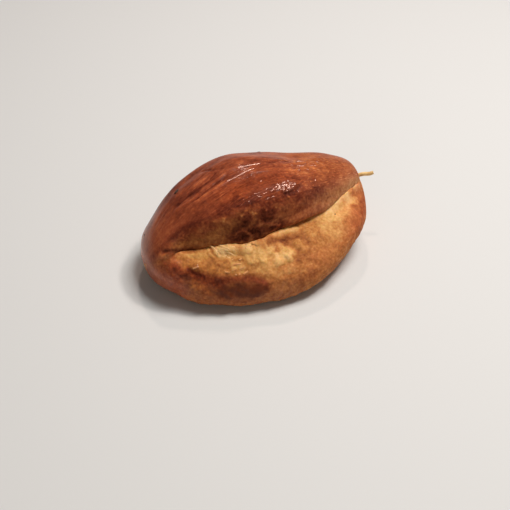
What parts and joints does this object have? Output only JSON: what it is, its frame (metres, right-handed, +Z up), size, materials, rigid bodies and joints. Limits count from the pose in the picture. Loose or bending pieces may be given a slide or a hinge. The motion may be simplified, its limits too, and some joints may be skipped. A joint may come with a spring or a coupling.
{
  "type": "pogaca",
  "caption": "Folded oval pastry of soft baked dough: a glazed brown upper flap overhangs a paler lower lip along a crease, flat underneath. Eaten by hand.",
  "frame": {"origin": "middle of the flat base's bounding box, on the surface the pastry stands on", "axes": "+X along the fold from tip to tip, -Y towards the open side with the crease, +Z up"},
  "size_m": [0.112, 0.0742, 0.046],
  "materials": {
    "crust": "egg-washed crust, glossy and red-brown on the upper flap, matt and golden on the lower lip"
  },
  "bodies": {
    "root": {"dough": "crust"}
  },
  "joints": []
}
